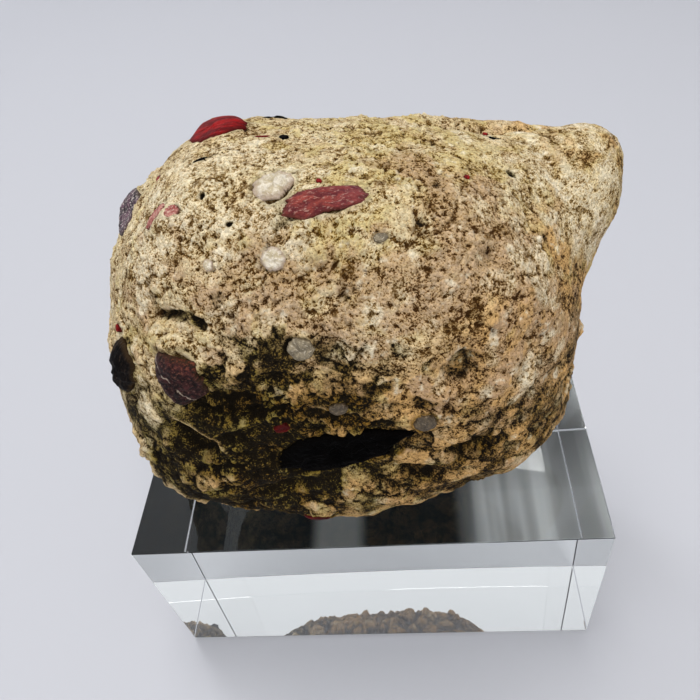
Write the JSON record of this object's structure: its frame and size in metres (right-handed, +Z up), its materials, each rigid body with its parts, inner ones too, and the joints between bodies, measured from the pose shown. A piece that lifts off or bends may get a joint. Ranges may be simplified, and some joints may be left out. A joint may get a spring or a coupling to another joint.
{
  "type": "puddingstone specimen",
  "caption": "Rounded cobble of pebbly sandstone with red, black and grey pebbles standing in its grains, resting on a clear block for display.",
  "frame": {"origin": "centre of the display block's underside", "axes": "+Z up; +X along the block's long side; -Y out of the front that the picture shows"},
  "size_m": [0.1564, 0.1029, 0.183],
  "materials": {
    "sandstone": "matte",
    "clear_acrylic": "polished"
  },
  "bodies": {
    "root": {"puddingstone": "sandstone", "display_block": "clear_acrylic"}
  },
  "joints": []
}
